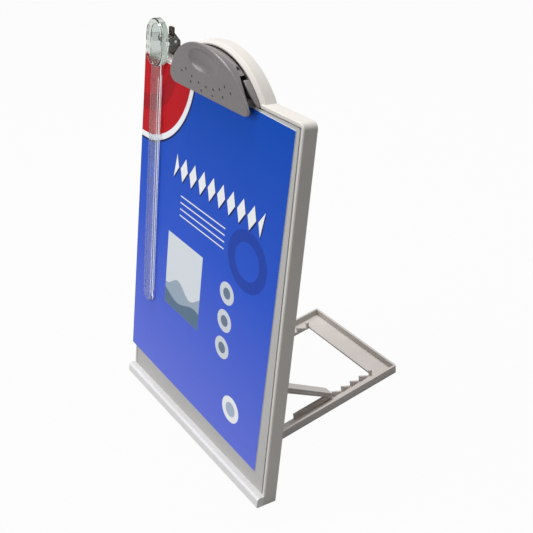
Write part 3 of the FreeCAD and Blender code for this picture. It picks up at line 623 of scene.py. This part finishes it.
def grownMesh(name, tree, settings):
    # what a tree grows from its inputs, set by identifier, as a plain mesh
    holder = addObject(name, bpy.data.meshes.new(name))
    modifier = holder.modifiers.new(tree.name, "NODES")
    modifier.node_group = tree
    for item in tree.interface.items_tree:
        if item.in_out == "INPUT":
            modifier[item.identifier] = settings[item.name]
    return evaluatedMesh(holder, name)


def leverPresses():
    # the ball that presses the thumb hollow and the two rows that press the dimples
    halfWide, halfTall = lever["hollowWidth"] / 2, lever["hollowHeight"] / 2
    lift = lever["hollowDepth"] * lever["hollowLift"]
    drop = lift + lever["hollowDepth"]
    reach = math.sqrt(1 - (lift / drop) ** 2)
    stretch = (Matrix.Translation((0, -lift, lever["hollowPlace"]))
               @ Matrix.Diagonal((halfWide / reach, drop, halfTall / reach, 1)))
    bowl = bmesh.new()
    bmesh.ops.create_uvsphere(bowl, u_segments=lever["hollowSegments"], v_segments=lever["hollowRings"],
                              radius=1.0)
    bmesh.ops.transform(bowl, matrix=stretch, verts=bowl.verts)
    presses = [toolObject("thumbHollow", bowl)]
    tree = dimpleTree()
    for name, ringName, countName in (("nearDots", "nearRing", "nearCount"),
                                      ("farDots", "farRing", "farCount")):
        # the balls give the faces they cut in the lever their darker material, the pits' painted shade
        row = grownMesh(name, tree, {
            "Ring": lever[ringName], "Count": lever[countName], "Row angle": math.radians(lever["rowAngle"]),
            "Stretch": lever["dotStretch"], "Middle height": lever["hollowPlace"],
            "Lift": -lever["dotLift"], "Ball radius": lever["dotRadius"], "Material": materials["pitPaintedShade"]})
        presses.append(addObject(name, row))
    return presses


def cutLeverBack(shell, core):
    # in the board's drawing: the open back, room for the pad, the pin's bosses and hole, the skirt's edges
    # and room for the ears
    side, jaw, gap = lever["pastSide"], lever["jaw"], lever["backGap"]
    behind = blockShape((-side, -gap, jaw - lever["belowJaw"]),
                        (side, lever["pastBack"], jaw + lever["aboveJaw"]))
    applyTool(shell, toolObject("behindLever", behind), "DIFFERENCE")
    padRoom = blockShape((-side, -gap - lever["padDepth"], jaw - lever["padBelow"]),
                         (side, lever["padBack"], jaw + lever["padAbove"]))
    applyTool(shell, toolObject("padRoom", padRoom), "DIFFERENCE")
    pin = (-lever["pinReach"], board["height"] + lever["pinRise"])
    for left, right in ((-lever["bossEnd"], -lever["bossStart"]), (lever["bossStart"], lever["bossEnd"])):
        boss = toolObject("pinBoss", rodShape(lever["bossRadius"], left, right, *pin))
        applyTool(boss, core, "INTERSECT")    # the boss ends inside the wall
        applyTool(shell, boss, "UNION")
    applyTool(shell, toolObject("pinHole", rodShape(lever["pinHole"], -side, side, *pin)), "DIFFERENCE")
    past = lever["pastSkirt"]
    for edge, inside in ((lever["skirtEdge"], lever["skirtInside"]),
                         (lever["cornerEdge"], lever["cornerInside"])):
        for left, right in ((inside, past), (-past, -inside)):
            applyTool(shell, toolObject("skirtCut", prismShape(edge, left, right)), "DIFFERENCE")
    swing, more = lever["earRoom"] + lever["swingRoom"], lever["swingSide"]
    for left, right in ((lever["earStart"], lever["earEnd"]), (-lever["earEnd"], -lever["earStart"])):
        applyTool(shell, toolObject("earSlot", rodShape(lever["earRoom"], left, right, *pin)), "DIFFERENCE")
        behindEar = blockShape((left - more, pin[0], pin[1] - swing),
                               (right + more, lever["swingBack"], pin[1] + swing))
        applyTool(shell, toolObject("earSwing", behindEar), "DIFFERENCE")


def buildLever():
    rim, wall, depth, overrun = lever["rim"], lever["wall"], lever["depth"], lever["overrun"]
    stations = [(0.0, rim)]
    for step in range(1, lever["rimSteps"]):
        angle = math.pi / 2 * step / lever["rimSteps"]
        stations.append((rim * (1 - math.cos(angle)), rim * (1 - math.sin(angle))))
    for step in range(lever["skirtSteps"] + 1):
        stations.append((rim + (depth - rim) * step / lever["skirtSteps"], 0.0))
    shell = toolObject("clipLeverShell", moonLoft(stations))
    shell.data.materials.append(materials["clipAbs"])
    core = toolObject("leverCore", moonLoft([(wall / 2, wall / 2), (depth, wall / 2)]))

    # the room inside, less the solid jaw and the floor under the thumb hollow
    room = toolObject("leverRoom", moonLoft([(wall, wall), (depth + overrun, wall)]))
    keep = toolObject("jawKeep", blockShape((-lever["pastSide"], -overrun, lever["jawWall"]),
                                            (lever["pastSide"], lever["pastRoom"], lever["pastTop"])))
    halfWide, halfTall = lever["hollowWidth"] / 2, lever["hollowHeight"] / 2
    place = lever["hollowPlace"]
    hollowFloor = toolObject("hollowFloor", blockShape((-halfWide, 0, place - halfTall),
                                                       (halfWide, lever["hollowFloor"], place + halfTall)))
    applyTool(room, keep, "INTERSECT")
    applyTool(room, hollowFloor, "DIFFERENCE")
    applyTool(shell, room, "DIFFERENCE")

    presses = leverPresses()
    toBoard = (Matrix.Translation((0, -lever["reach"], lever["jaw"]))
               @ Matrix.Rotation(math.radians(lever["tilt"]), 4, "X"))
    for tool in (shell, core, room, keep, hollowFloor, *presses):
        tool.data.transform(toBoard)
    cutLeverBack(shell, core)
    for press in presses:
        applyTool(shell, press, "DIFFERENCE")

    helpers = {modifier.object for tool in (shell, room) for modifier in tool.modifiers} | {core}
    mesh = evaluatedMesh(shell, "clipLever")
    for helper in helpers:
        bpy.data.objects.remove(helper)
    mesh.transform(boardPlace)
    piece = meshPiece("clipLever", mesh, "clip", None, lever["smooth"])
    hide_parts("clip_lever")
    print("clip lever:", len(mesh.polygons), "faces")


buildLever()


# Clip base: the frame's base, its side walls standing proud of the arch below the pin

clipBase = {
    "ringRadius": 76.2, "ringCentre": 279.0, "wall": 2.6, "root": 1.2, "edge": 0.7, "edgeShare": 0.3,
    # how far the wall's front edge stands off the board, by height
    "proud": ((325.6, 0.9), (327.0, 1.8), (330.0, 3.0), (334.0, 4.2), (338.0, 4.8), (341.6, 4.6)),
    "steps": 28, "weld": 0.002, "smooth": 32.0,
}


def proudAt(height):
    heights = clipBase["proud"]
    for (low, start), (high, end) in zip(heights, heights[1:]):
        if height <= high:
            return start + (end - start) * (height - low) / (high - low)
    return heights[-1][1]


def wallShape(side):
    # a curved wall along the ring, its front edge rising and falling
    shape = bmesh.new()
    low, high = clipBase["proud"][0][0], clipBase["proud"][-1][0]
    outer, centre, edge, root = (clipBase[key] for key in ("ringRadius", "ringCentre", "edge", "root"))
    inner, soft = outer - clipBase["wall"], clipBase["edge"] * clipBase["edgeShare"]
    rings = []
    for step in range(clipBase["steps"] + 1):
        height = low + (high - low) * step / clipBase["steps"]
        angle = math.asin((height - centre) / outer)
        front = -proudAt(height)
        section = [(inner, root), (inner, front + edge), (inner + soft, front + soft), (inner + edge, front),
                   (outer - edge, front), (outer - soft, front + soft), (outer, front + edge), (outer, root)]
        rings.append([shape.verts.new((side * radius * math.cos(angle), depth,
                                       centre + radius * math.sin(angle)))
                      for radius, depth in section])
    joinLoops(shape, rings)
    bmesh.ops.triangulate(shape, faces=shape.faces)
    return shape


def buildBase():
    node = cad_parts["clip_base"]
    shape = bmesh.new()
    shape.from_mesh(node.data)
    bmesh.ops.remove_doubles(shape, verts=shape.verts, dist=clipBase["weld"] * mm)
    bmesh.ops.transform(shape, matrix=boardPlace.inverted(), verts=shape.verts)
    base = toolObject("clipBaseBody", shape)
    walls = [toolObject("clipBaseWall", wallShape(side)) for side in (-1, 1)]
    for wall in walls:
        applyTool(base, wall, "UNION")
    mesh = evaluatedMesh(base, "clipBase")
    for wall in walls:
        bpy.data.objects.remove(wall)
    mesh.transform(boardPlace)
    piece = meshPiece("clipBase", mesh, "board", materials["clipAbs"], clipBase["smooth"])
    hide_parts("clip_base")


buildBase()


# Springs: round wire on the same axis, turns and legs as the frame's

springs = {
    "clipSpring": {"node": "clip_spring", "body": "board", "wire": 0.35, "radius": 2.7, "pitch": 1.4,
                   "turns": 3, "start": math.pi, "centre": (0.0, -3.2, 347.0), "firstLeg": 3.5,
                   "lastLeg": 7.9},
    "guideSpring": {"node": "guide_spring", "body": "guide", "wire": 0.4, "radius": 2.6, "pitch": 1.6,
                    "turns": 3, "start": 0.0, "centre": (-84.0, 8.0, 342.0), "firstLeg": 2.0,
                    "lastLeg": 8.5},
}
springMesh = {"turnSteps": 24, "extraSteps": 6, "wireResolution": 3, "smooth": 60.0}


def buildSpring(name, plan):
    turnSteps = springMesh["turnSteps"]
    steps = turnSteps * plan["turns"] + springMesh["extraSteps"]
    points = []
    for number in range(steps + 1):
        angle = plan["start"] + 2 * math.pi * number / turnSteps
        points.append(Vector((plan["pitch"] * (number - steps / 2) / turnSteps,
                              plan["radius"] * math.cos(angle), plan["radius"] * math.sin(angle))))
    firstWay = (points[0] - points[1]).normalized()
    lastWay = (points[-1] - points[-2]).normalized()
    points = [points[0] + firstWay * plan["firstLeg"], *points, points[-1] + lastWay * plan["lastLeg"]]
    curve = bpy.data.curves.new(name, "CURVE")
    curve.dimensions = "3D"
    curve.bevel_depth = plan["wire"]
    curve.bevel_resolution = springMesh["wireResolution"]
    curve.use_fill_caps = True
    line = curve.splines.new("POLY")
    line.points.add(len(points) - 1)
    for spot, point in zip(line.points, points):
        spot.co = (*(point + Vector(plan["centre"])), 1.0)
    mesh = evaluatedMesh(addObject(name, curve), name)
    mesh.transform(boardPlace)
    piece = meshPiece(name, mesh, plan["body"], materials["springSteel"], springMesh["smooth"])
    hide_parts(plan["node"])


for springName, springPlan in springs.items():
    buildSpring(springName, springPlan)
print("springs wound:", len(springs))


# Screws: pan heads with a cross recess, at each of their places on the back

screwPlan = {
    # the head from its middle to its seat, as (radius, height)
    "headCurve": ((0.0, 1.4), (0.9, 1.4), (1.7, 1.15), (2.1, 0.7), (2.2, 0.25), (2.2, 0.0)),
    "shankRadius": 1.3, "taper": 0.6, "turnSteps": 28, "weld": 0.001, "smooth": 30.0,
    "recess": 1.5, "recessWidth": 0.55, "recessFloor": 0.6, "recessTop": 2.0,
    "panelX": 93.2, "panelHeights": (43.4, 290.0), "panelTip": 0.65,
    "clipX": 10.0, "clipHeight": 337.0, "clipTip": 5.65,
}


def screwShape(tip):
    # one screw with its head's seat at the origin, turned by a lathe, with the cross cut in
    shank = screwPlan["shankRadius"]
    profile = [*screwPlan["headCurve"], (shank, 0.0), (shank, tip + screwPlan["taper"]), (0.0, tip)]
    shape = bmesh.new()
    last = [shape.verts.new((radius, y, 0)) for radius, y in profile]
    edges = [shape.edges.new(pair) for pair in zip(last, last[1:])]
    bmesh.ops.spin(shape, geom=last + edges, axis=(0, 1, 0), cent=(0, 0, 0), steps=screwPlan["turnSteps"],
                   angle=2 * math.pi, use_duplicate=False)
    bmesh.ops.remove_doubles(shape, verts=shape.verts, dist=screwPlan["weld"])
    bmesh.ops.recalc_face_normals(shape, faces=shape.faces)
    screw = toolObject("screwBody", shape)
    long, half = screwPlan["recess"], screwPlan["recessWidth"] / 2
    floor, top = screwPlan["recessFloor"], screwPlan["recessTop"]
    bars = [toolObject("crossBar", blockShape((-x, floor, -z), (x, top, z)))
            for x, z in ((long, half), (half, long))]
    for bar in bars:
        applyTool(screw, bar, "DIFFERENCE")
    mesh = evaluatedMesh(screw, "screwBody")
    for bar in bars:
        bpy.data.objects.remove(bar)
    return addObject("screwPattern", mesh)


def screwTree():
    # a grid of places, each with one screw
    tree, given = newTree("screwPlaces", {
        "Screw": "Object", "Width": "Float", "Height": "Float", "Rows": "Int", "Middle": "Vector",
        "Material": "Material"})
    grid = addNode(tree, "GeometryNodeMeshGrid",
                   {"Size X": given["Width"], "Size Y": given["Height"], "Vertices Y": given["Rows"]},
                   {"Vertices X": 2})
    upright = addNode(tree, "GeometryNodeTransform",
                      {"Geometry": grid.outputs["Mesh"], "Translation": given["Middle"]},
                      {"Rotation": (math.pi / 2, 0, 0)})
    screw = addNode(tree, "GeometryNodeObjectInfo", {"Object": given["Screw"]})
    placed = addNode(tree, "GeometryNodeInstanceOnPoints",
                     {"Points": upright.outputs[0], "Instance": screw.outputs["Geometry"]})
    closeTree(tree, placed.outputs[0], given["Material"])
    return tree


def buildScrews():
    tree = screwTree()
    low, high = screwPlan["panelHeights"]
    rows = [
        ("panelScrews", "panel_screws", screwPlan["panelX"], high - low, 2, (low + high) / 2,
         screwPlan["panelTip"]),
        ("clipScrews", "clip_screws", screwPlan["clipX"], 0.0, 1, screwPlan["clipHeight"],
         screwPlan["clipTip"]),
    ]
    for name, node, side, height, count, middle, tip in rows:
        pattern = screwShape(tip - board["depth"])
        mesh = grownMesh(name, tree, {
            "Screw": pattern, "Width": side * 2, "Height": height, "Rows": count,
            "Middle": (0.0, board["depth"], middle), "Material": materials["zincPlate"]})
        bpy.data.objects.remove(pattern)
        mesh.transform(boardPlace)
        piece = meshPiece(name, mesh, "board", materials["zincPlate"], screwPlan["smooth"])
        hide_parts(node)


buildScrews()
print("screws set")


# Floor, light and camera

studio = {
    "floorSize": 16.0, "floor": "#A2A2A2", "floorWhite": 0.96,
    "world": "#FFFFFF", "worldStrength": 0.16, "worldWhite": 0.97, "mirrorShare": 0.4,
    "keyPlace": (-0.75, -1.15, 1.15), "keySize": (0.8, 0.8), "keyPower": 12.5,
    "topPlace": (-0.15, 0.22, 1.55), "topSize": (0.7, 0.7), "topPower": 20.0,
    "stripPlace": (0.36, -1.3, 0.6), "stripSize": (0.08, 0.7), "stripPower": 4.6,
    "aim": (0.0, -0.03, 0.16),
}


def seenShare(tree):
    # how much of the white a ray meets: all of it straight on or through glass, less of it as a mirror image
    path = addNode(tree, "ShaderNodeLightPath").outputs
    straight = mathNode(tree, "MAXIMUM", path["Is Camera Ray"], path["Is Transmission Ray"])
    mirrored = mathNode(tree, "MULTIPLY", path["Is Glossy Ray"], studio["mirrorShare"])
    return mathNode(tree, "MAXIMUM", straight, mirrored)


def buildFloor():
    shape = bmesh.new()
    bmesh.ops.create_grid(shape, x_segments=1, y_segments=1, size=studio["floorSize"] / 2)
    floor = toolObject("studioFloor", shape)
    material, tree = newMaterial("studioPaper")
    paper = addNode(tree, "ShaderNodeBsdfDiffuse", values={"Color": hexColour(studio["floor"])})
    white = addNode(tree, "ShaderNodeEmission", values={"Strength": 1.0})
    share = mathNode(tree, "MULTIPLY", seenShare(tree), studio["floorWhite"])
    mix = addNode(tree, "ShaderNodeMixShader", {0: share, 1: paper.outputs[0], 2: white.outputs[0]})
    closeMaterial(tree, mix.outputs[0])
    material.cycles.emission_sampling = "NONE"    # its white is only for the eye, and lights nothing
    floor.data.materials.append(material)


def buildWorld():
    world = bpy.data.worlds.new("studioWorld")
    bpy.context.scene.world = world
    world.use_nodes = True
    tree = world.node_tree
    tree.nodes.clear()
    strength = stretched(tree, seenShare(tree), 0.0, 1.0, studio["worldStrength"], studio["worldWhite"])
    light = addNode(tree, "ShaderNodeBackground", {"Strength": strength},
                    {"Color": hexColour(studio["world"])})
    addNode(tree, "ShaderNodeOutputWorld", {"Surface": light.outputs[0]})


def areaLight(name):
    data = bpy.data.lights.new(name + "Light", "AREA")
    data.shape = "RECTANGLE"
    data.size, data.size_y = studio[name + "Size"]
    data.energy = studio[name + "Power"]
    place = Vector(studio[name + "Place"])
    lamp = addObject(name + "Light", data)
    lamp.location = place
    lamp.rotation_euler = (place - Vector(studio["aim"])).to_track_quat("Z", "Y").to_euler()


view = {
    "place": (551.48, -342.81, 589.2),     # millimetres
    "azimuth": 63.47, "elevation": 30.02, "roll": -9.58,
    "focal": 892.3, "imageSize": 533,      # pixels
    "shiftX": 0.1649, "shiftY": -0.1187,      # shares of the image
    "sensorWidth": 36.0,
}


def buildCamera():
    data = bpy.data.cameras.new("photoCamera")
    data.sensor_width = view["sensorWidth"]
    data.lens = view["focal"] / view["imageSize"] * data.sensor_width
    data.shift_x, data.shift_y = view["shiftX"], view["shiftY"]
    camera = addObject("photoCamera", data)
    turn, tilt, roll = (math.radians(view[key]) for key in ("azimuth", "elevation", "roll"))
    back = Vector((math.sin(turn) * math.cos(tilt), -math.cos(turn) * math.cos(tilt), math.sin(tilt)))
    right = (-back).cross(Vector((0, 0, 1))).normalized()
    up = right.cross(-back)
    across = right * math.cos(roll) + up * math.sin(roll)
    upright = up * math.cos(roll) - right * math.sin(roll)
    axes = Matrix((across, upright, back)).transposed().to_4x4()
    camera.matrix_world = Matrix.Translation(Vector(view["place"]) * mm) @ axes
    bpy.context.scene.camera = camera


buildFloor()
buildWorld()
for lampName in ("key", "top", "strip"):
    areaLight(lampName)
buildCamera()
bpy.context.scene.view_settings.view_transform = "Standard"
print("studio ready")
